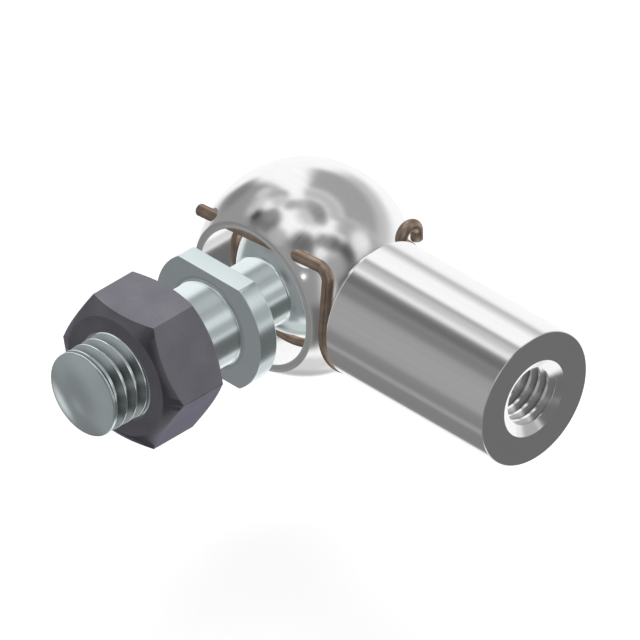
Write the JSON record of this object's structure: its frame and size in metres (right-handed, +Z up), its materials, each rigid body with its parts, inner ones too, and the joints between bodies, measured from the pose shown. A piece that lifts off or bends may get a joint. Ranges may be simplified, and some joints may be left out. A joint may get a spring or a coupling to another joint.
{
  "type": "angle ball joint",
  "caption": "Angle ball joint: round steel socket with a tapped shank, snapped on a ball stud and locked by a spring wire bow, with a collar and hex nut to clamp a lever.",
  "frame": {"origin": "centre of the ball, where the shank's axis and the stud's axis cross", "axes": "+X along the socket's shank, out of its tapped end; -Y along the stud, out of its threaded end; +Z up, square to both"},
  "size_m": [0.047, 0.0469, 0.024],
  "materials": {
    "housing_steel": "turned and polished bright steel",
    "spring_wire": "brown tempered spring wire",
    "zinc_steel": "turned steel with pale blue zinc plating",
    "dark_steel": "dark grey burnished steel with a violet tinge"
  },
  "bodies": {
    "socket": {"socket_housing": "housing_steel", "safety_bow": "spring_wire"},
    "retaining_ring": {"snap_ring": "spring_wire"},
    "stud": {"ball_stud": "zinc_steel"},
    "nut": {"hex_nut": "dark_steel"}
  },
  "joints": [
    {"name": "ball_turn", "type": "hinge", "parent": "socket", "child": "retaining_ring", "pos_m": [0, 0, 0], "axis": [0, -1, 0], "continuous": true},
    {"name": "ball_tilt", "type": "hinge", "parent": "retaining_ring", "child": "stud", "pos_m": [0, 0, 0], "axis": [0, 0, 1], "range_deg": [-15, 15]},
    {"name": "nut_turn", "type": "hinge", "parent": "stud", "child": "nut", "pos_m": [0, -0.0248, 0], "axis": [0, -1, 0], "continuous": true}
  ]
}
